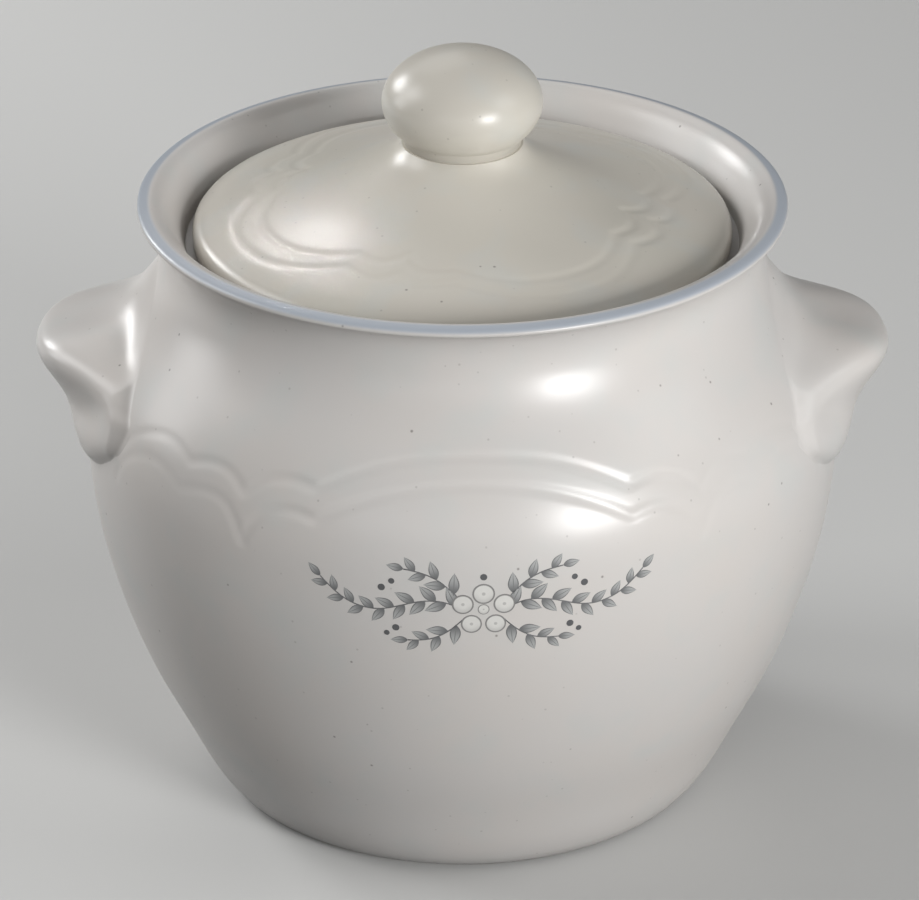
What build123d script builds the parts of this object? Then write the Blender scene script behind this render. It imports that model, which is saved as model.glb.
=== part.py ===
from build123d import *
import math
import os

# Stoneware bean pot with two ear handles and a loose lid.
# Millimetres. Z is up, the origin is the middle of the foot where it meets the table,
# and the handles point along +X and -X.

# Pot body: radii and heights of the outer wall.
foot_radius = 65.2
belly_radius = 101.9
belly_height = 103.0
neck_radius = 80.3
neck_height = 157.0
lip_radius = 87.0
lip_height = 168.0
lip_band = 3.3  # width of the band that slopes up from the lip's edge to the crest
lip_rise = 1.5  # height of the crest above the lip's edge
lip_roll = 1.0  # thickness of the rolled edge below the band
wall = 6.0
floor_thickness = 7.0
floor_corner = 16.0  # how far the wall's curve into the floor reaches
foot_ring = 9.0  # width of the ring that the pot stands on
foot_recess = 2.5

# How the wall bends: (share of the way across, share of the way up) between its ends.
lower_bend = [(0.185, 0.078), (0.35, 0.194), (0.565, 0.35), (0.775, 0.544), (0.94, 0.777)]
shoulder_bend = [(0.09, 0.28), (0.355, 0.50), (0.74, 0.72), (0.94, 0.87)]
flare_bend = [(0.16, 0.50), (0.52, 0.83)]
inner_lower_bend = lower_bend[2:]  # the inside leaves the wall's line early for the floor
inner_shoulder_bend = shoulder_bend[:3]  # and for the throat
inner_flare_bend = (0.36, 0.55)  # from the gallery's ledge to the crest
floor_bend = 0.3  # share of floor_corner at which the inside turns into the floor

# Gallery: the ledge inside the rim that carries the lid.
ledge_height = 156.8
ledge_width = 6.5
throat_depth = 7.0
seat_tolerance = 2.0  # all round between the lid's edge and the flare

# Lid.
lid_radius = 72.2
lid_edge = 6.4  # thickness at the edge
lid_edge_round = 2.8
lid_wall = 6.0
boss_radius = 15.7  # pad that the knob is fixed to
boss_height = 184.6
flange_gap = 1.2  # between the locating flange and the throat
flange_width = 5.0
flange_depth = 8.0
lid_bend = [(0.04, 0.13), (0.165, 0.31), (0.34, 0.50), (0.61, 0.71), (0.87, 0.88)]

# Knob: a flattened ball on a short neck.
knob_radius = 21.4
knob_height = 28.4
knob_neck = 2.0

# Ear handles. Their sections are leaves of a fan that turns about a level pivot inside the pot.
ear_projection = 19.0  # how far the brim stands out from the wall beside it
ear_width = 81.0  # between the edges of the flanks
ear_inset = 14.3  # from the neck's wall in to the pivot
ear_drop = 39.0  # from the neck down to the pivot
ear_root = 8.0  # distance from the pivot at which the leaves end inside the pot
flank_slope = 0.65  # how fast the flanks spread towards the pot
cheek_side = 0.42  # where cheek and corner stand, as shares of the leaf's half width
corner_side = 0.785

# Ear leaves from the tail to the top: (degrees above level, half width, tip, cheek, corner,
# edge). Half widths are shares of half the ear's width. Tip, cheek, corner and edge stand
# out from the wall along the middle of the leaf by shares of ear_projection.
ear_leaves = [
    (-43, 0.330, -0.293, -0.330, -0.404, -0.472),
    (-37, 0.506, -0.077, -0.172, -0.325, -0.441),
    (-31, 0.706, 0.120, -0.038, -0.280, -0.443),
    (-25, 0.847, 0.197, 0.071, -0.182, -0.482),
    (-18, 0.936, 0.226, 0.126, -0.068, -0.447),
    (-11, 0.976, 0.268, 0.163, -0.084, -0.358),
    (-4, 0.988, 0.390, 0.222, -0.110, -0.321),
    (2, 0.988, 0.582, 0.334, -0.113, -0.308),
    (7, 0.979, 0.818, 0.482, -0.082, -0.245),
    (10, 0.965, 0.930, 0.617, -0.036, -0.199),
    (12.5, 0.941, 0.975, 0.830, 0.048, -0.173),
    (15, 0.906, 0.935, 0.860, 0.213, -0.124),
    (18, 0.871, 0.740, 0.660, 0.330, -0.061),
    (22, 0.859, 0.463, 0.389, 0.163, -0.158),
    (28, 0.847, 0.268, 0.173, -0.027, -0.248),
    (36, 0.800, 0.148, 0.069, -0.089, -0.263),
    (46, 0.729, 0.076, 0.034, -0.103, -0.271),
    (57, 0.588, 0.020, -0.020, -0.160, -0.270),
    (66, 0.424, -0.250, -0.280, -0.360, -0.450),
]

# Shared by the pieces that fit each other.
seat_radius = lid_radius + seat_tolerance
throat_radius = seat_radius - ledge_width
under_lip = (lip_radius - lip_roll, lip_height - lip_roll)
crest = (lip_radius - lip_band, lip_height + lip_rise)


def between(start, end, share_across, share_up):
    """Point at these shares of the way across and up from start to end."""
    across = start[0] + share_across * (end[0] - start[0])
    return across, start[1] + share_up * (end[1] - start[1])


def wall_points(lower, shoulder, inset):
    """Bend points of the wall from the foot up to the neck, moved in by inset."""
    foot = (foot_radius - inset, 0)
    belly = (belly_radius - inset, belly_height)
    neck = (neck_radius - inset, neck_height)
    below = [between(foot, belly, *share) for share in lower]
    above = [between(belly, neck, *share) for share in shoulder]
    return [*below, belly, *above]


def outer_wall():
    """Draw the outer wall from the foot to the underside of the lip."""
    neck = (neck_radius, neck_height)
    flare = [between(neck, under_lip, *share) for share in flare_bend]
    Spline((foot_radius, 0), *wall_points(lower_bend, shoulder_bend, 0), neck, *flare, under_lip)


def inner_flare():
    """Draw the inside of the rim from the crest down to the gallery's ledge."""
    ledge = (seat_radius, ledge_height)
    middle = between(ledge, crest, *inner_flare_bend)
    Spline(crest, middle, ledge, tangents=[(-1, -0.25), (-0.1, -1)])


def inner_wall():
    """Draw the ledge, the throat below it and the inside of the pot down to the axis."""
    throat_bottom = ledge_height - throat_depth
    inside = wall_points(inner_lower_bend, inner_shoulder_bend, wall)
    corner = (foot_radius - wall, floor_thickness + floor_bend * floor_corner)
    floor_edge = (corner[0] - floor_corner, floor_thickness)
    Line((seat_radius, ledge_height), (throat_radius, ledge_height))
    Line((throat_radius, ledge_height), (throat_radius, throat_bottom))
    Line((throat_radius, throat_bottom), inside[-1])
    Spline(*reversed(inside))
    Spline(inside[0], corner, floor_edge)
    Line(floor_edge, (0, floor_thickness))


def pot_body():
    ring_inner = foot_radius - foot_ring
    with BuildPart() as pot:
        with BuildSketch(Plane.XZ):
            with BuildLine():
                Line((0, foot_recess), (ring_inner - foot_recess, foot_recess))
                Line((ring_inner - foot_recess, foot_recess), (ring_inner, 0))
                Line((ring_inner, 0), (foot_radius, 0))
                outer_wall()
                Spline(under_lip, (lip_radius, lip_height), tangents=[(1, 0.3), (-0.1, 1)])
                Spline((lip_radius, lip_height), crest, tangents=[(-0.2, 1), (-1, 0)])
                inner_flare()
                inner_wall()
                Line((0, floor_thickness), (0, foot_recess))
            make_face()
        revolve(axis=Axis.Z)
    return pot.part


def pot_envelope():
    """The pot's outside as one full solid, for cutting what is fixed to it."""
    with BuildPart() as envelope:
        with BuildSketch(Plane.XZ):
            with BuildLine():
                outer_wall()
                Line(under_lip, (0, under_lip[1]))
                Line((0, under_lip[1]), (0, 0))
                Line((0, 0), (foot_radius, 0))
            make_face()
        revolve(axis=Axis.Z)
    return envelope.part


def leaf_plane(degrees):
    """Plane through the ear's pivot at this angle, its X axis pointing out of the pot."""
    pivot = (neck_radius - ear_inset, 0, neck_height - ear_drop)
    across, up = math.cos(math.radians(degrees)), math.sin(math.radians(degrees))
    return Plane(origin=pivot, x_dir=(across, 0, up), z_dir=(-up, 0, across))


def wall_distance(envelope, plane):
    """How far from the pivot the pot's outside is, along the middle of the leaf."""
    ray = Axis(plane.origin, plane.x_dir)
    hits = [plane.to_local_coords(hit[0]).X for hit in envelope.find_intersection_points(ray)]
    return min(distance for distance in hits if distance > 0)


def mirrored(point):
    return point[0], -point[1]


def ear_leaf(leaf, envelope):
    """One leaf of the ear on +X: straight flanks and a rounded nose."""
    degrees, width, tip_out, cheek_out, corner_out, edge_out = leaf
    plane = leaf_plane(degrees)
    wall_here = wall_distance(envelope, plane)
    half = width * ear_width / 2
    tip = (wall_here + tip_out * ear_projection, 0)
    cheek = (wall_here + cheek_out * ear_projection, cheek_side * half)
    corner = (wall_here + corner_out * ear_projection, corner_side * half)
    edge = (wall_here + edge_out * ear_projection, half)
    root = (ear_root, half + flank_slope * (edge[0] - ear_root))
    nose = [edge, corner, cheek]
    with BuildSketch(plane) as outline:
        with BuildLine():
            Line(mirrored(root), mirrored(edge))
            Spline(*[mirrored(point) for point in nose], tip, *reversed(nose))
            Line(edge, root)
            Line(root, mirrored(root))
        make_face()
    return outline.sketch


def ear_handle(envelope):
    ear = loft([ear_leaf(leaf, envelope) for leaf in ear_leaves])
    return ear - envelope


def lid_disc():
    edge_top = ledge_height + lid_edge
    flange_outer = throat_radius - flange_gap
    flange_inner = flange_outer - flange_width
    flange_bottom = ledge_height - flange_depth
    boss = (boss_radius, boss_height)
    top_edge = (lid_radius - lid_edge_round, edge_top)
    top = [between(boss, top_edge, *share) for share in lid_bend]
    inner_top = [point for point in top if point[0] < flange_inner - lid_wall]
    under = [(radius, height - lid_wall) for radius, height in inner_top]
    under_rim = (flange_inner, ledge_height)
    with BuildPart() as lid:
        with BuildSketch(Plane.XZ):
            with BuildLine():
                Line((0, boss_height), boss)
                Spline(boss, *top, top_edge)
                RadiusArc(top_edge, (lid_radius, edge_top - lid_edge_round), lid_edge_round)
                Line((lid_radius, edge_top - lid_edge_round), (lid_radius, ledge_height))
                Line((lid_radius, ledge_height), (flange_outer, ledge_height))
                Line((flange_outer, ledge_height), (flange_outer, flange_bottom))
                Line((flange_outer, flange_bottom), (flange_inner, flange_bottom))
                Line((flange_inner, flange_bottom), under_rim)
                Spline(under_rim, *reversed(under))
                Line(under[0], (0, under[0][1]))
                Line((0, under[0][1]), (0, boss_height))
            make_face()
        revolve(axis=Axis.Z)
    return lid.part


def ellipse_arc(centre_height, start, end):
    """Draw the knob's outline between two angles, as one conic arc."""
    half = knob_height / 2
    middle = (start + end) / 2
    spread = (end - start) / 2
    points = [
        (knob_radius * math.cos(start), centre_height + half * math.sin(start)),
        (
            knob_radius * math.cos(middle) / math.cos(spread),
            centre_height + half * math.sin(middle) / math.cos(spread),
        ),
        (knob_radius * math.cos(end), centre_height + half * math.sin(end)),
    ]
    Bezier(*points, weights=[1, math.cos(spread), 1])


def lid_knob():
    half = knob_height / 2
    neck_angle = -math.acos(boss_radius / knob_radius)
    neck_top = boss_height + knob_neck
    centre_height = neck_top - half * math.sin(neck_angle)
    with BuildPart() as knob:
        with BuildSketch(Plane.XZ):
            with BuildLine():
                Line((0, boss_height), (boss_radius, boss_height))
                Line((boss_radius, boss_height), (boss_radius, neck_top))
                ellipse_arc(centre_height, neck_angle, 0)
                ellipse_arc(centre_height, 0, math.pi / 2)
                Line((0, centre_height + half), (0, boss_height))
            make_face()
        revolve(axis=Axis.Z)
    return knob.part


def build():
    envelope = pot_envelope()
    right_ear = ear_handle(envelope)
    return {
        "pot_body": pot_body(),
        "handle_right": right_ear,
        "handle_left": mirror(right_ear, about=Plane.YZ),
        "lid": lid_disc(),
        "lid_knob": lid_knob(),
    }


os.makedirs("parts", exist_ok=True)
for name, solid in build().items():
    solid.label = name
    export_step(solid, f"parts/{name}.step")
    print(name, round(solid.volume / 1000, 1), "cm3")
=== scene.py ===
import math

import bpy
import numpy as np
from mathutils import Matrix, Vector
from mathutils.bvhtree import BVHTree


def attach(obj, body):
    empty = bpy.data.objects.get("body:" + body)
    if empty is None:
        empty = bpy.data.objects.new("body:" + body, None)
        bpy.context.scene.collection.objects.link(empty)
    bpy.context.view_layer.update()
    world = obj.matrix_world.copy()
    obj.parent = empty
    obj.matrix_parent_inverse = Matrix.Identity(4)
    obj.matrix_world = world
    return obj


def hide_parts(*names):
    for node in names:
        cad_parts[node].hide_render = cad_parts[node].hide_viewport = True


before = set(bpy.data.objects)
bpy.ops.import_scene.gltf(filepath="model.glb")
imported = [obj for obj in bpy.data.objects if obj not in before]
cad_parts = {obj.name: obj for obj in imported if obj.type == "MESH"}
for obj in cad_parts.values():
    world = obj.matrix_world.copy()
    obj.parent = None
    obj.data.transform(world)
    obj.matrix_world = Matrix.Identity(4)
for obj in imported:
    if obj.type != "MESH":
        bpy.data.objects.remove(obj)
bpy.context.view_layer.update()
scene = bpy.context.scene
mm = 0.001
fullTurn = 2 * math.pi
wallStep = 0.1  # millimetres between the points of the outlines that are looked up or sampled again


# outlines

def lengthAlong(line):
    return np.concatenate([[0], np.cumsum(np.linalg.norm(np.diff(line, axis=0), axis=1))])


def splineThrough(knots, step):  # natural cubic through the knots, about evenly spaced
    knots = np.array(knots, float)
    chord = lengthAlong(knots)
    count = len(knots)
    gap = np.diff(chord)
    system = np.eye(count)
    right = np.zeros((count, knots.shape[1]))
    for i in range(1, count - 1):
        system[i, i - 1:i + 2] = gap[i - 1], 2 * (gap[i - 1] + gap[i]), gap[i]
        right[i] = 6 * ((knots[i + 1] - knots[i]) / gap[i] - (knots[i] - knots[i - 1]) / gap[i - 1])
    bend = np.linalg.solve(system, right)
    at = np.linspace(0, chord[-1], max(2, int(round(chord[-1] / step)) + 1))
    i = np.clip(np.searchsorted(chord, at, side="right") - 1, 0, count - 2)
    past, ahead, width = (at - chord[i])[:, None], (chord[i + 1] - at)[:, None], gap[i][:, None]
    curve = (bend[i] * ahead ** 3 + bend[i + 1] * past ** 3) / (6 * width)
    curve += (knots[i] / width - bend[i] * width / 6) * ahead
    curve += (knots[i + 1] / width - bend[i + 1] * width / 6) * past
    return curve


def arc(centre, radii, start, end, count):  # part of an ellipse, angles in degrees from the outward side
    angles = np.radians(np.linspace(start, end, count))
    return np.column_stack([centre[0] + radii[0] * np.cos(angles), centre[1] + radii[1] * np.sin(angles)])


def spaced(line, zones, lastGap=0.3):  # rows along a dense line, spaced as each zone of heights asks
    along = lengthAlong(line)
    rows, at = [line[0]], 0.0
    while True:
        height = np.interp(at, along, line[:, 1])
        at += next(step for top, step in zones if height <= top)
        if at >= along[-1] - lastGap:
            break
        rows.append([np.interp(at, along, line[:, 0]), np.interp(at, along, line[:, 1])])
    rows.append(line[-1])
    return np.array(rows)


def joined(*runs):  # one outline, without the doubled points where runs meet
    points = [np.array(runs[0], float)]
    for run in runs[1:]:
        run = np.array(run, float)
        same = np.allclose(points[-1][-1], run[0], atol=1e-4)
        points.append(run[1:] if same else run)
    return np.vstack(points)


def meshObject(name, verts, faces=(), edges=()):
    mesh = bpy.data.meshes.new(name)
    mesh.from_pydata([tuple(v) for v in verts], edges, faces)
    mesh.update()
    piece = bpy.data.objects.new(name, mesh)
    scene.collection.objects.link(piece)
    return piece


# nodes

def addNode(tree, kind, inputs=None, **settings):
    node = tree.nodes.new(kind)
    for key, value in settings.items():
        setattr(node, key, value)
    for key, value in (inputs or {}).items():
        if isinstance(value, bpy.types.NodeSocket):
            tree.links.new(value, node.inputs[key])
        else:
            node.inputs[key].default_value = value
    return node


def maths(tree, operation, *values):
    return addNode(tree, "ShaderNodeMath", dict(enumerate(values)), operation=operation).outputs[0]


def greatest(tree, *values):
    most = values[0]
    for value in values[1:]:
        most = maths(tree, "MAXIMUM", most, value)
    return most


def ramp(tree, value, start, end, low=0.0, high=1.0, ease="SMOOTHSTEP"):
    return addNode(tree, "ShaderNodeMapRange", {
        "Value": value, "From Min": start, "From Max": end, "To Min": low, "To Max": high},
        interpolation_type=ease).outputs[0]


def vector(tree, *values):
    return addNode(tree, "ShaderNodeCombineXYZ", dict(enumerate(values))).outputs[0]


def parts(tree, value):
    return addNode(tree, "ShaderNodeSeparateXYZ", {0: value}).outputs


def scaled(tree, value, size):
    return addNode(tree, "ShaderNodeVectorMath", {0: value, "Scale": size}, operation="SCALE").outputs[0]


def lengthOf(tree, value):
    return addNode(tree, "ShaderNodeVectorMath", {0: value}, operation="LENGTH").outputs["Value"]


def ownPlace(tree):
    return addNode(tree, "GeometryNodeInputPosition").outputs[0]


def geometryOf(tree, source):
    return addNode(tree, "GeometryNodeObjectInfo", {"Object": source}).outputs["Geometry"]


def together(tree, *pieces):
    join = addNode(tree, "GeometryNodeJoinGeometry", {0: pieces[0]})
    for piece in pieces[1:]:
        tree.links.new(piece, join.inputs[0])
    return join.outputs[0]


def newTree(name, sockets):
    tree = bpy.data.node_groups.new(name, "GeometryNodeTree")
    tree.interface.new_socket("Geometry", in_out="OUTPUT", socket_type="NodeSocketGeometry")
    for label, kind in sockets:
        tree.interface.new_socket(label, in_out="INPUT", socket_type="NodeSocket" + kind)
    start = tree.nodes.new("NodeGroupInput").outputs
    return tree, start


def closeTree(tree, geometry):
    end = tree.nodes.new("NodeGroupOutput")
    tree.links.new(geometry, end.inputs[0])


def runTree(piece, tree, values):  # the tree's result as a plain mesh on the same object
    modifier = piece.modifiers.new(tree.name, "NODES")
    modifier.node_group = tree
    for item in tree.interface.items_tree:
        if item.in_out == "INPUT" and item.name in values:
            modifier[item.identifier] = values[item.name]
    bpy.context.view_layer.update()
    evaluated = piece.evaluated_get(bpy.context.evaluated_depsgraph_get())
    result = bpy.data.meshes.new_from_object(evaluated)
    piece.modifiers.clear()
    result.name = piece.name
    piece.data = result


# thrown forms and the lines pressed into them

def thrownFormTree():  # turns an outline of (radius, height) points about the upright axis
    tree, start = newTree("Thrown form", [
        ("Geometry", "Geometry"), ("Columns", "Int"), ("Glaze", "Material")])
    rows = addNode(tree, "GeometryNodeAttributeDomainSize", {0: start["Geometry"]}).outputs["Point Count"]
    sheet = addNode(tree, "GeometryNodeMeshGrid", {
        "Size X": 1.0, "Size Y": 1.0, "Vertices X": maths(tree, "ADD", start["Columns"], 1.0),
        "Vertices Y": rows}).outputs["Mesh"]
    place = ownPlace(tree)
    across, up = parts(tree, place)[:2]
    row = maths(tree, "MULTIPLY", maths(tree, "ADD", up, 0.5), maths(tree, "SUBTRACT", rows, 1.0))
    point = parts(tree, addNode(tree, "GeometryNodeSampleIndex", {
        "Geometry": start["Geometry"], "Value": place, "Index": maths(tree, "ROUND", row)},
        data_type="FLOAT_VECTOR").outputs[0])
    angle = maths(tree, "MULTIPLY_ADD", across, fullTurn, math.pi / 2)
    turned = vector(tree, maths(tree, "MULTIPLY", point[0], maths(tree, "COSINE", angle)),
                    maths(tree, "MULTIPLY", point[0], maths(tree, "SINE", angle)), point[2])
    form = addNode(tree, "GeometryNodeSetPosition", {"Geometry": sheet, "Position": turned}).outputs[0]
    form = addNode(tree, "GeometryNodeMergeByDistance", {"Geometry": form, "Distance": 0.00001}).outputs[0]
    form = addNode(tree, "GeometryNodeSetShadeSmooth", {"Geometry": form}).outputs[0]
    form = addNode(tree, "GeometryNodeSetMaterial", {"Geometry": form, "Material": start["Glaze"]}).outputs[0]
    closeTree(tree, form)
    return tree


def pressedLineTree():  # presses a soft groove along every line, shallower to the sides where it fades
    tree, start = newTree("Pressed lines", [
        ("Geometry", "Geometry"), ("Lines", "Object"), ("Groove Width", "Float"), ("Groove Depth", "Float"),
        ("Fade From", "Float"), ("Fade To", "Float"), ("Fade Share", "Float")])
    away = addNode(tree, "GeometryNodeProximity", {0: geometryOf(tree, start["Lines"])},
                   target_element="EDGES").outputs["Distance"]
    edge = maths(tree, "MULTIPLY", start["Groove Width"], 0.5)
    depth = ramp(tree, away, edge, 0.0, 0.0, start["Groove Depth"], "SMOOTHERSTEP")
    aside = maths(tree, "ABSOLUTE", parts(tree, ownPlace(tree))[0])
    fade = ramp(tree, aside, start["Fade From"], start["Fade To"], 1.0, start["Fade Share"], "LINEAR")
    inwards = maths(tree, "MULTIPLY", maths(tree, "MULTIPLY", depth, fade), -1.0)
    normal = addNode(tree, "GeometryNodeInputNormal").outputs[0]
    pressed = addNode(tree, "GeometryNodeSetPosition", {
        "Geometry": start["Geometry"], "Offset": scaled(tree, normal, inwards)}).outputs[0]
    closeTree(tree, pressed)
    return tree


thrownForm = thrownFormTree()
pressedLines = pressedLineTree()


def thrown(name, outline, columns, glaze):
    piece = meshObject(name, [(r * mm, 0, z * mm) for r, z in outline],
                       edges=[(i, i + 1) for i in range(len(outline) - 1)])
    runTree(piece, thrownForm, {"Columns": columns, "Glaze": glaze})
    return piece


# glaze

glazeLook = {
    "pot": (0.615, 0.595, 0.575),
    "lid": (0.595, 0.570, 0.505),
    "warm": (0.640, 0.585, 0.535),
    "cool": (0.560, 0.585, 0.570),
    "band": (0.415, 0.452, 0.505),
    "speck": (0.200, 0.180, 0.165),
    "clay": (0.560, 0.490, 0.410),
    # features per metre, detail, where in the noise the tint starts and is full, and how full
    "warmClouds": (22.0, 3.0, 0.35, 0.7, 0.35),
    "coolPatches": (60.0, 2.0, 0.5, 0.75, 0.4),
    # cells per metre, size, strength, how rare
    "specks": [(210.0, 0.05, 0.75, 0.80), (300.0, 0.06, 0.32, 0.70)],
    "bandFromRadius": (0.0832, 0.0846),
    "bandFromHeight": (0.1679, 0.1688),
    "bareBelow": (0.0006, 0.0002),
    "roughness": (0.27, 0.35),
    "ripple": (260.0, 2.0, 0.25, 0.00006),  # features per metre, detail, strength, depth
}


def opaque(colour):
    return (*colour, 1.0)


def mixColour(tree, share, first, second):
    node = addNode(tree, "ShaderNodeMix", {0: share, 6: first, 7: second}, data_type="RGBA")
    return node.outputs[2]


def noise(tree, coords, scale, detail):
    return addNode(tree, "ShaderNodeTexNoise", {
        "Vector": coords, "Scale": scale, "Detail": detail}).outputs["Fac"]


def glazeMaterial(name, base, banded=False):
    material = bpy.data.materials.new(name)
    material.use_nodes = True
    tree = material.node_tree
    shader = tree.nodes["Principled BSDF"]
    coords = addNode(tree, "ShaderNodeTexCoord").outputs["Object"]
    colour = opaque(base)
    for cloud, tint in (("warmClouds", "warm"), ("coolPatches", "cool")):
        scale, detail, first, full, most = glazeLook[cloud]
        patch = noise(tree, coords, scale, detail)
        share = ramp(tree, patch, first, full, 0.0, most, "LINEAR")
        colour = mixColour(tree, share, colour, opaque(glazeLook[tint]))
    for cellScale, size, strength, above in glazeLook["specks"]:
        cells = addNode(tree, "ShaderNodeTexVoronoi", {
            "Vector": coords, "Scale": cellScale, "Randomness": 1.0})
        dot = ramp(tree, cells.outputs["Distance"], 2 * size, size, 0.0, strength, "LINEAR")
        chosen = maths(tree, "GREATER_THAN", cells.outputs["Color"], above)
        colour = mixColour(tree, maths(tree, "MULTIPLY", dot, chosen), colour, opaque(glazeLook["speck"]))
    if banded:
        x, y, z = parts(tree, coords)
        outer = ramp(tree, lengthOf(tree, vector(tree, x, y)), *glazeLook["bandFromRadius"])
        band = maths(tree, "MULTIPLY", outer, ramp(tree, z, *glazeLook["bandFromHeight"]))
        colour = mixColour(tree, band, colour, opaque(glazeLook["band"]))
        bare = ramp(tree, z, *glazeLook["bareBelow"], ease="LINEAR")
        colour = mixColour(tree, bare, colour, opaque(glazeLook["clay"]))
    tree.links.new(colour, shader.inputs["Base Color"])
    # the cool patches are a little duller
    sheen = ramp(tree, patch, 0.0, 1.0, *glazeLook["roughness"], "LINEAR")
    tree.links.new(sheen, shader.inputs["Roughness"])
    scale, detail, strength, depth = glazeLook["ripple"]
    bump = addNode(tree, "ShaderNodeBump", {
        "Height": noise(tree, coords, scale, detail), "Strength": strength, "Distance": depth}).outputs[0]
    tree.links.new(bump, shader.inputs["Normal"])
    return material


potGlaze = glazeMaterial("pot glaze", glazeLook["pot"], banded=True)
lidGlaze = glazeMaterial("lid glaze", glazeLook["lid"])
print("glazes made")


# scalloped lines: half of one repeat, (degrees from the arch's middle, height or radius)

scallops = {
    "potTurn": 1.8,
    "potArches": (0, 180),
    "potLobes": [[(0, 135.6), (8, 135.0), (16, 132.3), (21, 129.0), (24.6, 125.8)],
                 [(24.6, 125.8), (29, 126.8), (33.6, 124.6), (36.4, 120.8)],
                 [(36.4, 120.8), (39, 124.0), (43, 125.2), (47.9, 123.2)],
                 [(47.9, 123.2), (53, 126.0), (59, 124.2), (63, 120.6), (66, 114.0)],
                 [(0, 129.4), (8, 128.4), (16, 125.1), (20.8, 121.6), (24, 118.5)],
                 [(24, 118.5), (28, 119.6), (32.3, 117.2), (35, 112.0), (35.8, 108.5)],
                 [(35.8, 108.5), (37.3, 113.3), (39.6, 117.2), (43.6, 118.1), (48.8, 116.0)],
                 [(48.8, 116.0), (53.7, 119.0), (60, 117.6), (64, 113.0), (66, 107.0)]],
    "lidTurn": 27.0,
    "lidArches": (0, 90, 180, 270),
    "lidLobes": [[(0, 63.6), (9, 63.0), (17, 60.6), (25, 56.7), (29, 54.5)],
                 [(29, 54.5), (36, 56.5), (42, 55.5), (45, 53.0)],
                 [(0, 56.5), (9, 55.8), (17, 53.8), (25, 50.5), (29, 48.6)],
                 [(29, 48.6), (35, 49.8), (41, 48.3), (45, 45.0)]],
    "degreeWidth": 1.7,  # millimetres in a degree, near enough to space the points of a line evenly
    "step": 0.6,
}


def lobeLines(lobes, arches, turn):  # every lobe on both sides of each arch's middle
    scale = (scallops["degreeWidth"], 1)
    lines = []
    for lobe in lobes:
        line = splineThrough(np.multiply(lobe, scale), scallops["step"]) / scale
        for middle in arches:
            lines += [line * (1, 1) + (middle + turn, 0), line * (-1, 1) + (middle + turn, 0)]
    return lines


# toOutline gives a point's radius and height from its second number
def pressLines(piece, look, lines, toOutline):
    verts, edges = [], []
    for line in lines:
        first = len(verts)
        for angle, number in line:
            a = math.radians(angle)
            radius, height = toOutline(number)
            verts.append((radius * mm * math.sin(a), -radius * mm * math.cos(a), height * mm))
        edges += [(i, i + 1) for i in range(first, len(verts) - 1)]
    guide = meshObject("guide", verts, edges=edges)
    runTree(piece, pressedLines, {
        "Lines": guide, "Groove Width": look["grooveWidth"] * mm, "Groove Depth": look["grooveDepth"] * mm,
        "Fade From": look["fade"][0] * mm, "Fade To": look["fade"][1] * mm, "Fade Share": look["fade"][2]})
    bpy.data.objects.remove(guide)
    piece.data.set_sharp_from_angle(angle=math.radians(look["sharpAngle"]))


# pot

pot = {
    "foot": [(0, 2.5), (26, 2.5), (53.7, 2.5)],
    "footRing": [(53.7, 2.5), (56.0, 0.15), (56.8, 0.0), (64.6, 0.0)],
    "wall": [(64.6, 0.0), (66.0, 0.7), (69.2, 3.8), (72.4, 8.6), (78.1, 20.0), (86.0, 36.0), (93.7, 56.0),
             (99.8, 80.0), (101.9, 103.0), (101.2, 113.0), (99.3, 120.0), (94.2, 130.0), (89.3, 137.0),
             (85.1, 143.0), (81.8, 149.6), (80.3, 157.0), (81.2, 162.0), (83.3, 165.2), (86.0, 167.0)],
    "lip": [(86.0, 167.0), (86.8, 167.3), (87.0, 168.0), (86.5, 168.7), (85.2, 169.2), (83.7, 169.5)],
    "flare": [(83.7, 169.5), (81.9, 168.9), (79.2, 166.6), (77.2, 163.6), (75.2, 160.2), (74.2, 156.8)],
    "ledge": [(74.2, 156.8), (71, 156.8), (68.3, 156.8), (67.7, 156.2), (67.7, 149.8)],
    "inside": [(67.7, 149.8), (79.0, 142.4), (83.3, 137.0), (88.2, 130.0), (93.3, 120.0), (95.9, 103.0),
               (93.8, 80.0), (87.7, 56.0), (79.9, 36.0), (70.5, 20.5), (59.2, 11.8), (43.2, 7.0)],
    "floor": [(43.2, 7.0), (20, 7.0), (0, 7.0)],
    "columns": 560,
    "rowSteps": [(103, 4.0), (139, 0.75), (165, 1.6), (200, 0.6)],  # up to this height, this far apart
    "lipStep": 0.5,
    "flareStep": 1.3,
    "insideStep": 8.0,
    "grooveWidth": 4.8,
    "grooveDepth": 0.42,
    "fade": (44.0, 76.0, 0.3),  # grooves get shallower from here to there beside the middle, to this share
    "sharpAngle": 50,
}

potWall = splineThrough(pot["wall"], wallStep)
potWallUp = potWall[np.argsort(potWall[:, 1])]


def wallRadius(height):  # in millimetres
    return np.interp(height, potWallUp[:, 1], potWallUp[:, 0])


potBody = thrown("potBody", joined(
    pot["foot"], pot["footRing"], spaced(potWall, pot["rowSteps"]), splineThrough(pot["lip"], pot["lipStep"]),
    splineThrough(pot["flare"], pot["flareStep"]), pot["ledge"],
    splineThrough(pot["inside"], pot["insideStep"]), pot["floor"]), pot["columns"], potGlaze)
pressLines(potBody, pot, lobeLines(scallops["potLobes"], scallops["potArches"], scallops["potTurn"]),
           lambda height: (wallRadius(height), height))
print("pot thrown,", len(potBody.data.polygons), "faces")


# lid and knob

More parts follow.
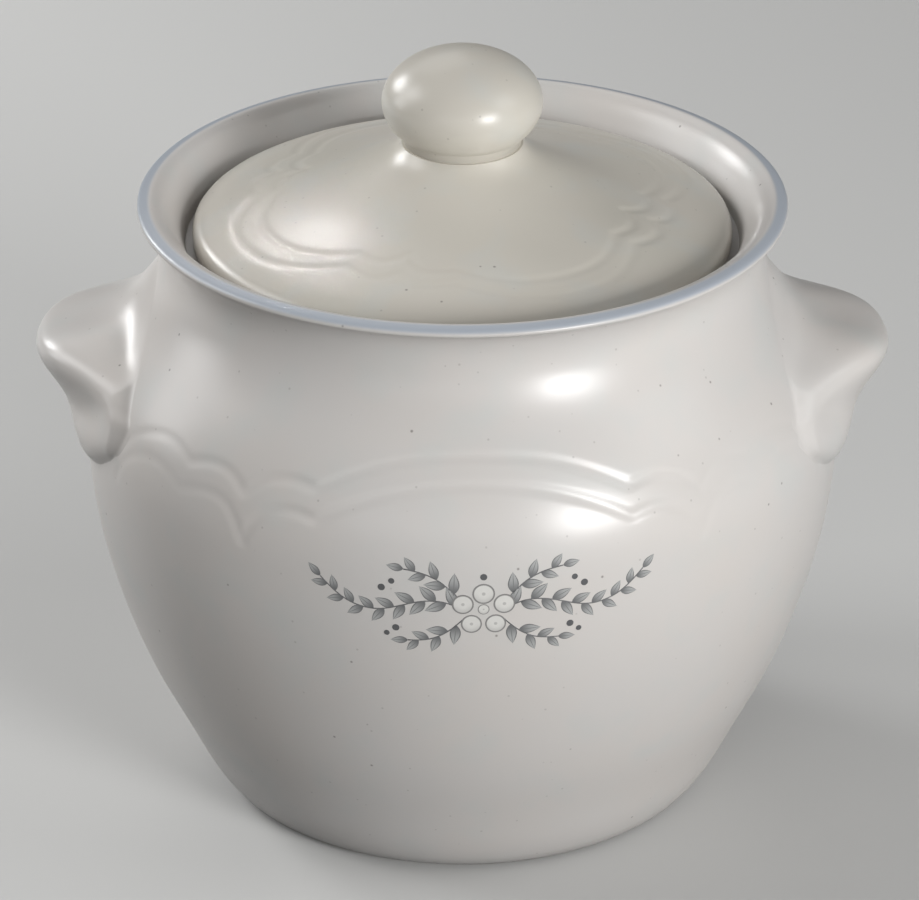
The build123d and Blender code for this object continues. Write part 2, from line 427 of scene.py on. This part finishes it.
lid = {
    "under": [(0, 173.6), (18.0, 173.6)],
    "hollow": [(18.0, 173.6), (27.0, 170.0), (40.0, 165.2), (52.0, 161.6), (61.5, 156.8)],
    "flange": [(61.5, 156.8), (61.5, 149.4), (62.1, 148.8), (65.9, 148.8), (66.5, 149.4), (66.5, 156.8),
               (71.4, 156.8), (72.0, 157.2)],
    "edge": [(72.0, 157.2), (72.2, 158.4), (72.2, 160.4), (71.7, 162.0), (70.6, 163.1), (69.2, 163.8)],
    "top": [(69.2, 163.8), (65.0, 165.6), (58.0, 167.6), (50.0, 169.5), (42.0, 171.5), (35.0, 173.8),
            (29.0, 176.3), (24.0, 178.8), (20.0, 181.0), (17.5, 183.0), (16.2, 184.6)],
    "crown": [(16.2, 184.6), (8, 184.6), (0, 184.6)],
    "columns": 480,
    "rowSteps": [(165, 1.0), (172.5, 0.7), (200, 1.2)],
    "hollowStep": 3.0,
    "edgeStep": 0.8,
    "grooveWidth": 5.0,
    "grooveDepth": 0.22,
    "fade": (0, 1000, 1.0),  # none
    "sharpAngle": 50,
}
knob = {
    "radius": 21.4,
    "height": 28.4,
    "middle": 196.25,
    "neck": [(0, 184.0), (8, 184.0), (15.6, 184.0), (15.7, 185.2), (15.9, 186.3)],
    "neckStep": 1.5,
    "ballFrom": -42.0,
    "ballRows": 56,
    "columns": 192,
}

lidTop = splineThrough(lid["top"], wallStep)
lidTopOut = lidTop[np.argsort(lidTop[:, 0])]
lidDisc = thrown("lidDisc", joined(
    lid["under"], splineThrough(lid["hollow"], lid["hollowStep"]), lid["flange"],
    splineThrough(lid["edge"], lid["edgeStep"]), spaced(lidTop, lid["rowSteps"]), lid["crown"]),
    lid["columns"], lidGlaze)
pressLines(lidDisc, lid, lobeLines(scallops["lidLobes"], scallops["lidArches"], scallops["lidTurn"]),
           lambda radius: (radius, np.interp(radius, lidTopOut[:, 0], lidTopOut[:, 1])))

neck = splineThrough(knob["neck"], knob["neckStep"])[:-2]  # the ball takes over before its end
ball = arc((0, knob["middle"]), (knob["radius"], knob["height"] / 2), knob["ballFrom"], 90, knob["ballRows"])
lidKnob = thrown("knob", joined(neck, ball), knob["columns"], lidGlaze)
print("lid and knob thrown")


# ear handles

ear = {
    "pivot": (66.0, 118.0),
    # leaves fanned out about the pivot, from the tail to the top:
    # (degrees, reach at the middle, at the cheek, at the corner and at the edge, half width)
    "leaves": [
        (-43, 41.4, 40.7, 39.3, 38, 14), (-37, 42.2, 40.4, 37.5, 35.3, 21.5),
        (-31, 43.5, 40.5, 35.9, 32.8, 30), (-25, 43.2, 40.8, 36, 30.3, 36),
        (-18, 41.8, 39.9, 36.2, 29, 39.8), (-11, 40.6, 39.8, 35.1, 29.2, 41.5),
        (-4, 42.2, 38.5, 32.9, 28.5, 42), (2, 45.8, 39.8, 31.8, 27.7, 42),
        (7, 50.5, 43.4, 31.5, 27.9, 41.6), (10, 52.7, 46.8, 32.2, 28.2, 41),
        (12.5, 52.7, 50.3, 34.2, 28.3, 40), (15, 51.1, 50.2, 37.7, 28.9, 38.5),
        (18, 46.5, 47, 39.5, 29.8, 37), (22, 40.4, 41.1, 34.6, 27.9, 36.8),
        (28, 35.3, 35.4, 29.5, 25.8, 36.4), (36, 32.9, 31.6, 27.2, 25.2, 34.4),
        (46, 32.3, 30.2, 27.6, 25.5, 31.3), (57, 34, 32.8, 29.9, 28.1, 25),
        (66, 38.1, 36.5, 33.6, 31, 18)],
    "cheekSide": 0.4,
    "cornerSide": 0.75,
    "root": 8.0,
    "flankSlope": 0.65,
    "leafStep": 0.05,
    "leafRows": 220,
    "noseColumns": 60,
    # the sheet laid on the wall: heights, degrees to each side, rows and columns
    "low": 84.0,
    "high": 161.0,
    "spread": 33.0,
    "rows": 165,
    "columns": 175,
    "probeFrom": 40,
    "below": 8.0,
    # height: how much the ear is softened there, and how wide it eases into the wall
    "softness": [(84, 0.05), (106, 0.22), (122, 0.45), (136, 0.8), (161, 1.0)],
    "blend": [(84, 0.5), (112, 0.5), (124, 1.0), (138, 2.2), (161, 2.5)],
    "blur": 6.2,
    # brim and scoop are rounded from this far off the wall, the crease at the wall isn't
    "round": 4.4,
    "roundFrom": 1.0,
    "roundOver": 4.5,
    "sunk": 0.02,
    "sunkBeyond": 0.6,
    "sunkSlope": 0.3,
    "backDepth": 2.5,
    "sharpAngle": 70,
}


def earLeaf(leaf):  # one section of the ear, from flank to flank
    degrees, tip, cheek, corner, edge, half = leaf
    side = [(cheek, ear["cheekSide"] * half), (corner, ear["cornerSide"] * half), (edge, half)]
    otherSide = [(reach, -across) for reach, across in side[::-1]]
    nose = splineThrough(otherSide + [(tip, 0)] + side, ear["leafStep"])
    nose = nose[np.linspace(0, len(nose) - 1, 2 * ear["noseColumns"] + 1).round().astype(int)]
    root = (ear["root"], half + ear["flankSlope"] * (edge - ear["root"]))
    outline = np.vstack([(root[0], -root[1]), nose, root])
    a = math.radians(degrees)
    return np.column_stack([ear["pivot"][0] + outline[:, 0] * math.cos(a), outline[:, 1],
                            ear["pivot"][1] + outline[:, 0] * math.sin(a)])


def gridFaces(rows, columns, first=0, flip=False):
    faces = []
    for i in range(rows - 1):
        for j in range(columns - 1):
            a = first + i * columns + j
            face = (a, a + 1, a + columns + 1, a + columns)
            faces.append(face[::-1] if flip else face)
    return faces


def softened(field, width):  # a Gaussian blur along both sides of the grid
    reach = int(3 * width)
    weights = np.exp(-0.5 * (np.arange(-reach, reach + 1) / width) ** 2)
    weights /= weights.sum()
    for axis in (0, 1):
        pads = [(reach, reach) if k == axis else (0, 0) for k in (0, 1)]
        field = np.apply_along_axis(np.convolve, axis, np.pad(field, pads, mode="edge"), weights, "valid")
    return field


def earLoft():
    leaves = splineThrough(ear["leaves"], ear["leafStep"])
    turns = np.linspace(ear["leaves"][0][0], ear["leaves"][-1][0], ear["leafRows"])
    sections = [earLeaf([np.interp(turn, leaves[:, 0], leaves[:, k]) for k in range(6)]) for turn in turns]
    return BVHTree.FromPolygons(np.vstack(sections).tolist(), gridFaces(len(sections), len(sections[0])))


def wallSheet():  # a grid of points on the wall where the ear goes, their outward directions and heights
    along = potWallUp[(potWallUp[:, 1] > ear["low"]) & (potWallUp[:, 1] < ear["high"])]
    run = lengthAlong(along)
    at = np.linspace(0, run[-1], ear["rows"])
    radius, height = [np.interp(at, run, along[:, k])[:, None] for k in (0, 1)]
    nudge = 0.3
    lean = (wallRadius(height + nudge) - wallRadius(height - nudge)) / (2 * nudge)
    angles = np.radians(np.linspace(-ear["spread"], ear["spread"], ear["columns"]))
    level = 0 * angles
    wall = np.stack([radius * np.cos(angles), radius * np.sin(angles), height + level], axis=2)
    out = np.stack([np.cos(angles) + 0 * radius, np.sin(angles) + 0 * radius, -lean + level], axis=2)
    return wall, out / np.sqrt(1 + lean ** 2)[:, :, None], height


def earHeights():  # how far the ear stands off the wall, over the sheet
    wall, out, height = wallSheet()
    loft = earLoft()
    probe = ear["probeFrom"]
    raised = np.full(wall.shape[:2], -ear["below"])
    for i in range(raised.shape[0]):
        for j in range(raised.shape[1]):
            hit = loft.ray_cast(wall[i, j] + probe * out[i, j], -out[i, j], probe + ear["below"])
            if hit[0] is not None:
                raised[i, j] = probe - hit[3]
    blurred = softened(raised, ear["blur"])
    raised = raised + (blurred - raised) * np.interp(height, *np.array(ear["softness"]).T)
    inside = np.clip((raised - ear["roundFrom"]) / ear["roundOver"], 0, 1)
    rounded = softened(np.maximum(raised, 0), ear["round"])
    raised = raised + (rounded - raised) * inside ** 2 * (3 - 2 * inside)
    reach = np.interp(height, *np.array(ear["blend"]).T)
    eased = np.clip(reach - np.abs(raised), 0, None) ** 3 / (6 * reach ** 2)
    # past the ear the sheet dives under the wall
    beyond = np.clip(-raised - reach, 0, ear["sunkBeyond"] / ear["sunkSlope"])
    return wall, out, np.maximum(raised, 0) + eased - ear["sunk"] - ear["sunkSlope"] * beyond


def earHandle(name, side):
    wall, out, raised = earField
    front = wall + out * raised[:, :, None]
    back = wall - out * ear["backDepth"]
    rows, columns = raised.shape
    verts = np.vstack([front.reshape(-1, 3), back.reshape(-1, 3)]) * (side * mm, mm, mm)
    offset = rows * columns
    faces = gridFaces(rows, columns) + gridFaces(rows, columns, offset, flip=True)
    index = np.arange(offset).reshape(rows, columns)
    rim = np.concatenate([index[0], index[1:, -1], index[-1, -2::-1], index[-2:0:-1, 0]]).tolist()
    for a, b in zip(rim, rim[1:] + rim[:1]):
        faces.append((b, a, a + offset, b + offset))
    if side < 0:
        faces = [face[::-1] for face in faces]
    piece = meshObject(name, verts, faces)
    piece.data.materials.append(potGlaze)
    piece.data.shade_smooth()
    piece.data.set_sharp_from_angle(angle=math.radians(ear["sharpAngle"]))
    return piece


earField = earHeights()
earRight = earHandle("rightEar", 1)
earLeft = earHandle("leftEar", -1)
print("ears shaped")


# printed spray of leaves and berries

spray = {
    "middle": (5.4, 97.6),  # along the wall to the right of the front's middle, and height
    "wallRadius": 101.5,
    # right half, (along, up) from the middle outwards; the left half mirrors it
    "stems": [[(4.5, -0.4), (10.5, 2.2), (18.5, 1.6), (27.0, -0.8), (35.0, 0.6), (42.5, 6.5)],
              [(6.0, 2.0), (9.5, 6.6), (14.5, 9.8), (20.5, 11.2)],
              [(5.0, -2.6), (9.0, -6.4), (14.0, -9.0), (19.5, -9.6)]],
    "stemRouteStep": 0.5,
    "stemStep": 0.9,
    "stemWidth": 0.34,
    "leafGap": 2.75,
    "leafLength": 6.2,
    "leafWidth": 2.9,
    "leafTurn": 40.0,
    "lastLeafSize": 0.74,
    "bareRoot": 0.05,  # the share of a stem that has no leaves
    "straightFrom": 0.97,  # past this share of it, the last leaf points straight on
    "leafGrid": (11, 5),
    "leafSwell": 0.8,  # below 1, a leaf is widest before its middle
    # (along, up, radius)
    "berries": [(0, 4.6, 2.9), (5.3, 1.6, 2.8), (-5.3, 1.6, 2.8), (3.1, -4.2, 2.7), (-3.1, -4.2, 2.7),
                (0, 0.1, 1.5)],
    "buds": [(23.6, 7.6, 0.8), (26.2, 5.6, 0.95), (22.6, -6.0, 0.95), (25.0, -7.8, 0.75),
             (-23.6, 7.6, 0.8), (-26.2, 5.6, 0.95), (-22.6, -6.0, 0.95), (-25.0, -7.8, 0.75), (0, 9.4, 0.9)],
    "discSides": 28,
    "film": 0.06,
    "berryFilm": 1.4,  # times the film, so that berries lie over the stems
    "stem": (0.150, 0.152, 0.155),
    "leafDark": (0.105, 0.108, 0.112),
    "leafPale": (0.400, 0.405, 0.400),
    "berry": (0.700, 0.690, 0.660),
    "berryEdge": (0.230, 0.225, 0.220),
    "bud": (0.100, 0.102, 0.106),
    # where a dark mark starts and is full, and how dark: leaves across or along, berries by radius
    "leafOutline": (0.66, 0.88, 0.0, 0.85),
    "leafVein": (0.14, 0.04, 0.0, 0.75),
    "leafBase": (0.75, 0.05, 0.0, 0.85),
    "berryRing": (0.80, 0.90),
    "berryShade": (0.2, 0.9, 0.0, 0.30),
    "berryShadeSide": (0.3, -0.7),
    "berryEye": (0.20, 0.12, 0.0, 0.45),
    "roughness": 0.32,
}


def inkMark(tree, geometry, place):  # (kind, along or radius, across), which the ink's colours read
    return addNode(tree, "GeometryNodeStoreNamedAttribute", {
        "Geometry": geometry, "Name": "inkPlace", "Value": place},
        data_type="FLOAT_VECTOR", domain="POINT").outputs[0]


def oneLeaf(tree, start):
    grid = addNode(tree, "GeometryNodeMeshGrid", {
        "Size X": 1.0, "Size Y": 1.0, "Vertices X": spray["leafGrid"][0],
        "Vertices Y": spray["leafGrid"][1]}).outputs[0]
    x, y = parts(tree, ownPlace(tree))[:2]
    along = maths(tree, "ADD", x, 0.5)
    across = maths(tree, "MULTIPLY", y, 2.0)
    grid = inkMark(tree, grid, vector(tree, 1.0, along, across))
    swell = maths(tree, "MULTIPLY", maths(tree, "POWER", along, spray["leafSwell"]), math.pi)
    swell = maths(tree, "SINE", swell)
    width = maths(tree, "MULTIPLY", maths(tree, "MULTIPLY", across, swell),
                  maths(tree, "MULTIPLY", start["Leaf Width"], 0.5))
    shape = vector(tree, maths(tree, "MULTIPLY", along, start["Leaf Length"]), width)
    return addNode(tree, "GeometryNodeSetPosition", {"Geometry": grid, "Position": shape}).outputs[0]


def resampled(tree, curve, length):
    return addNode(tree, "GeometryNodeResampleCurve", {"Curve": curve, "Length": length},
                   mode="LENGTH").outputs[0]


def leafySprigs(tree, start):  # slender leaves by turns to both sides of every stem, flat
    stems = addNode(tree, "GeometryNodeMeshToCurve", {0: start["Geometry"]}).outputs[0]
    leaf = oneLeaf(tree, start)
    nodes = resampled(tree, stems, start["Leaf Gap"])
    tangent = parts(tree, addNode(tree, "GeometryNodeInputTangent").outputs[0])
    factor = addNode(tree, "GeometryNodeSplineParameter").outputs["Factor"]
    side = maths(tree, "MODULO", addNode(tree, "GeometryNodeInputIndex").outputs[0], 2.0)
    side = maths(tree, "MULTIPLY_ADD", side, 2.0, -1.0)
    side = maths(tree, "MULTIPLY", side, maths(tree, "LESS_THAN", factor, spray["straightFrom"]))
    heading = maths(tree, "ARCTAN2", tangent[1], tangent[0])
    turn = maths(tree, "MULTIPLY_ADD", side, start["Leaf Turn"], heading)
    size = ramp(tree, factor, 0.0, 1.0, 1.0, start["Last Leaf Size"])
    leaves = addNode(tree, "GeometryNodeInstanceOnPoints", {
        "Points": nodes, "Selection": maths(tree, "GREATER_THAN", factor, spray["bareRoot"]),
        "Instance": leaf, "Rotation": vector(tree, 0.0, 0.0, turn),
        "Scale": vector(tree, size, size, size)}).outputs[0]
    leaves = addNode(tree, "GeometryNodeRealizeInstances", {0: leaves}).outputs[0]
    half = maths(tree, "MULTIPLY", start["Stem Width"], 0.5)
    profile = addNode(tree, "GeometryNodeCurvePrimitiveLine", {
        "Start": vector(tree, maths(tree, "MULTIPLY", half, -1.0)), "End": vector(tree, half)}).outputs[0]
    ribbon = addNode(tree, "GeometryNodeCurveToMesh", {
        "Curve": resampled(tree, stems, start["Stem Step"]), "Profile Curve": profile}).outputs[0]
    right = together(tree, leaves, inkMark(tree, ribbon, vector(tree, 0.0, 0.0, 0.0)))
    left = addNode(tree, "GeometryNodeTransform", {"Geometry": right, "Scale": (-1.0, 1.0, 1.0)}).outputs[0]
    return together(tree, right, addNode(tree, "GeometryNodeFlipFaces", {0: left}).outputs[0])


def discs(tree, points, kind):  # one flat disc of its own size on every point
    disc = addNode(tree, "GeometryNodeMeshCircle", {"Vertices": spray["discSides"], "Radius": 1.0},
                   fill_type="TRIANGLE_FAN").outputs[0]
    place = ownPlace(tree)
    disc = inkMark(tree, disc, vector(tree, kind, lengthOf(tree, place), parts(tree, place)[1]))
    size = addNode(tree, "GeometryNodeInputNamedAttribute", {"Name": "size"}, data_type="FLOAT").outputs[0]
    placed = addNode(tree, "GeometryNodeInstanceOnPoints", {
        "Points": geometryOf(tree, points), "Instance": disc,
        "Scale": vector(tree, size, size, size)}).outputs[0]
    return addNode(tree, "GeometryNodeRealizeInstances", {0: placed}).outputs[0]


def thickened(tree, sheet, film):  # a flat sheet as a closed film
    front = addNode(tree, "GeometryNodeExtrudeMesh", {
        "Mesh": sheet, "Offset": (0, 0, 1), "Offset Scale": film, "Individual": False},
        mode="FACES").outputs[0]
    back = addNode(tree, "GeometryNodeFlipFaces", {0: sheet}).outputs[0]
    return addNode(tree, "GeometryNodeMergeByDistance", {
        "Geometry": together(tree, front, back), "Distance": 1e-7}).outputs[0]


def printedSprayTree():  # leaves, berries and buds, made flat and laid on the pot's wall
    tree, start = newTree("Printed spray", [
        ("Geometry", "Geometry"), ("Berries", "Object"), ("Buds", "Object"), ("Pot", "Object"),
        ("Along", "Float"), ("Height", "Float"), ("Wall Radius", "Float"), ("Leaf Gap", "Float"),
        ("Leaf Length", "Float"), ("Leaf Width", "Float"), ("Leaf Turn", "Float"),
        ("Last Leaf Size", "Float"), ("Stem Step", "Float"), ("Stem Width", "Float"), ("Film", "Float"),
        ("Berry Film", "Float"), ("Ink", "Material")])
    flatSpray = together(
        tree, thickened(tree, leafySprigs(tree, start), start["Film"]),
        *[thickened(tree, discs(tree, points, kind), start["Berry Film"])
          for points, kind in ((start["Berries"], 2.0), (start["Buds"], 3.0))])
    x, y, z = parts(tree, ownPlace(tree))
    angle = maths(tree, "DIVIDE", maths(tree, "ADD", x, start["Along"]), start["Wall Radius"])
    away = vector(tree, maths(tree, "SINE", angle),
                  maths(tree, "MULTIPLY", maths(tree, "COSINE", angle), -1.0))
    probe = 0.3  # metres from the axis, well outside the wall
    source = addNode(tree, "ShaderNodeVectorMath", {
        0: scaled(tree, away, probe),
        1: vector(tree, 0.0, 0.0, maths(tree, "ADD", y, start["Height"]))}).outputs[0]
    hit = addNode(tree, "GeometryNodeRaycast", {
        "Target Geometry": geometryOf(tree, start["Pot"]), "Source Position": source,
        "Ray Direction": scaled(tree, away, -1.0), "Ray Length": probe}).outputs
    proud = maths(tree, "MULTIPLY_ADD", start["Film"], -0.5, z)  # the film stands half in the wall
    place = addNode(tree, "ShaderNodeVectorMath", {
        0: hit["Hit Position"], 1: scaled(tree, hit["Hit Normal"], proud)}).outputs[0]
    laid = addNode(tree, "GeometryNodeSetPosition", {"Geometry": flatSpray, "Position": place}).outputs[0]
    laid = addNode(tree, "GeometryNodeRealizeInstances", {0: laid}).outputs[0]
    laid = addNode(tree, "GeometryNodeSetMaterial", {"Geometry": laid, "Material": start["Ink"]}).outputs[0]
    closeTree(tree, laid)
    return tree


def inkMaterial():
    material = bpy.data.materials.new("spray ink")
    material.use_nodes = True
    tree = material.node_tree
    shader = tree.nodes["Principled BSDF"]
    mark = addNode(tree, "ShaderNodeAttribute", attribute_name="inkPlace").outputs["Vector"]
    kind, along, across = parts(tree, mark)
    side = maths(tree, "ABSOLUTE", across)
    dark = greatest(tree, ramp(tree, side, *spray["leafOutline"]), ramp(tree, side, *spray["leafVein"]),
                    ramp(tree, along, *spray["leafBase"]))
    leaf = mixColour(tree, dark, opaque(spray["leafPale"]), opaque(spray["leafDark"]))
    shade = maths(tree, "MULTIPLY", ramp(tree, along, *spray["berryShade"]),
                  ramp(tree, across, *spray["berryShadeSide"]))
    dark = greatest(tree, ramp(tree, along, *spray["berryRing"]), shade,
                    ramp(tree, along, *spray["berryEye"]))
    berry = mixColour(tree, dark, opaque(spray["berry"]), opaque(spray["berryEdge"]))
    colour = opaque(spray["stem"])
    for above, ink in ((0.5, leaf), (1.5, berry), (2.5, opaque(spray["bud"]))):
        colour = mixColour(tree, maths(tree, "GREATER_THAN", kind, above), colour, ink)
    tree.links.new(colour, shader.inputs["Base Color"])
    shader.inputs["Roughness"].default_value = spray["roughness"]
    return material


def pointObject(name, discsAt):
    holder = meshObject(name, [(x * mm, y * mm, 0) for x, y, size in discsAt])
    sizes = holder.data.attributes.new("size", "FLOAT", "POINT")
    sizes.data.foreach_set("value", [size * mm for x, y, size in discsAt])
    return holder


stemVerts, stemEdges = [], []
for knots in spray["stems"]:
    stem = splineThrough(knots, spray["stemRouteStep"])
    stemEdges += [(i, i + 1) for i in range(len(stemVerts), len(stemVerts) + len(stem) - 1)]
    stemVerts += [(x * mm, y * mm, 0) for x, y in stem]
printedSpray = meshObject("printedSpray", stemVerts, edges=stemEdges)
berryPoints = pointObject("berry points", spray["berries"])
budPoints = pointObject("bud points", spray["buds"])
runTree(printedSpray, printedSprayTree(), {
    "Berries": berryPoints, "Buds": budPoints, "Pot": potBody, "Along": spray["middle"][0] * mm,
    "Height": spray["middle"][1] * mm, "Wall Radius": spray["wallRadius"] * mm,
    "Leaf Gap": spray["leafGap"] * mm, "Leaf Length": spray["leafLength"] * mm,
    "Leaf Width": spray["leafWidth"] * mm, "Leaf Turn": math.radians(spray["leafTurn"]),
    "Last Leaf Size": spray["lastLeafSize"], "Stem Step": spray["stemStep"] * mm,
    "Stem Width": spray["stemWidth"] * mm, "Film": spray["film"] * mm,
    "Berry Film": spray["film"] * spray["berryFilm"] * mm, "Ink": inkMaterial()})
bpy.data.objects.remove(berryPoints)
bpy.data.objects.remove(budPoints)
print("spray printed,", len(printedSpray.data.polygons), "faces")


# what stands for what

for piece, body, node, slot in ((potBody, "pot", "pot_body", "pot_glaze"),
                                (earRight, "pot", "handle_right", "pot_glaze"),
                                (earLeft, "pot", "handle_left", "pot_glaze"),
                                (lidDisc, "lid", "lid", "lid_glaze"),
                                (lidKnob, "lid", "lid_knob", "lid_glaze")):
    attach(piece, body)
    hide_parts(node)
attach(printedSpray, "pot")


# studio

studio = {
    "lens": 200.3,
    "cameraPlace": (-0.00076, -1.2564, 0.7108),
    "cameraTilt": 63.82,
    "floorReach": 6,
    "floorSeen": (0.60, 0.60, 0.59),
    "floorLit": (0.045, 0.045, 0.045),
    "floorRoughness": 0.9,
    "world": 0.14,
    "aimHeight": 0.11,
    # azimuth from the camera to the right, elevation, distance, width, height, watts
    "lamps": {
        "front right box": (37, 13, 1.5, 0.45, 0.45, 18.0),
        "right box": (75, 38, 1.5, 0.7, 0.7, 3.0),
        "left box": (-104, 15, 1.5, 0.5, 0.5, 4.0),
        "high left box": (-100, 38, 1.5, 0.6, 0.6, 5.5),
        "back left box": (-131, 24, 1.5, 0.42, 0.42, 8.0),
        "back box": (-163, 42, 1.5, 0.8, 0.8, 2.2),
        "low front box": (-12, 13, 1.5, 1.2, 0.5, 1.9),
    },
    # a narrow soft beam on the lid: place, aim, size, spread in degrees, watts
    "beam": ((-0.153, 0.355, 0.473), (-0.0447, -0.0262, 0.168), 0.05, 3.2, 0.0005),
}


def studioFloor():
    reach = studio["floorReach"]
    corners = [(-reach, -reach, 0), (reach, -reach, 0), (reach, reach, 0), (-reach, reach, 0)]
    floor = meshObject("floor", corners, [(0, 1, 2, 3)])
    material = bpy.data.materials.new("floor paper")
    material.use_nodes = True
    tree = material.node_tree
    shader = tree.nodes["Principled BSDF"]
    shader.inputs["Roughness"].default_value = studio["floorRoughness"]
    path = addNode(tree, "ShaderNodeLightPath").outputs
    seen = greatest(tree, path["Is Camera Ray"], path["Is Glossy Ray"], path["Is Transmission Ray"])
    colour = mixColour(tree, seen, opaque(studio["floorLit"]), opaque(studio["floorSeen"]))
    tree.links.new(colour, shader.inputs["Base Color"])
    floor.data.materials.append(material)


def areaLamp(name, place, turned, **settings):
    light = bpy.data.lights.new(name, "AREA")
    for key, value in settings.items():
        setattr(light, key, value)
    lamp = bpy.data.objects.new(name, light)
    scene.collection.objects.link(lamp)
    lamp.location = place
    lamp.rotation_euler = turned


def studioLamp(name, azimuth, elevation, distance, width, height, watts):
    a, e = math.radians(azimuth), math.radians(elevation)
    place = (distance * math.sin(a) * math.cos(e), -distance * math.cos(a) * math.cos(e),
             studio["aimHeight"] + distance * math.sin(e))
    areaLamp(name, place, (math.pi / 2 - e, 0, a), shape="RECTANGLE", size=width, size_y=height, energy=watts)


def studioBeam(name, place, aim, size, spread, watts):
    turned = (Vector(aim) - Vector(place)).to_track_quat("-Z", "Y").to_euler()
    areaLamp(name, place, turned, shape="DISK", size=size, spread=math.radians(spread), energy=watts)


studioFloor()
for lampName, setting in studio["lamps"].items():
    studioLamp(lampName, *setting)
studioBeam("lid beam", *studio["beam"])
world = bpy.data.worlds.new("studio")
world.use_nodes = True
background = world.node_tree.nodes["Background"].inputs
background["Color"].default_value = (1, 1, 1, 1)
background["Strength"].default_value = studio["world"]
scene.world = world
scene.view_settings.view_transform = "Standard"
view = bpy.data.cameras.new("camera")
view.lens = studio["lens"]
camera = bpy.data.objects.new("camera", view)
camera.location = studio["cameraPlace"]
camera.rotation_euler = (math.radians(studio["cameraTilt"]), 0, 0)
scene.collection.objects.link(camera)
scene.camera = camera
print("studio set")
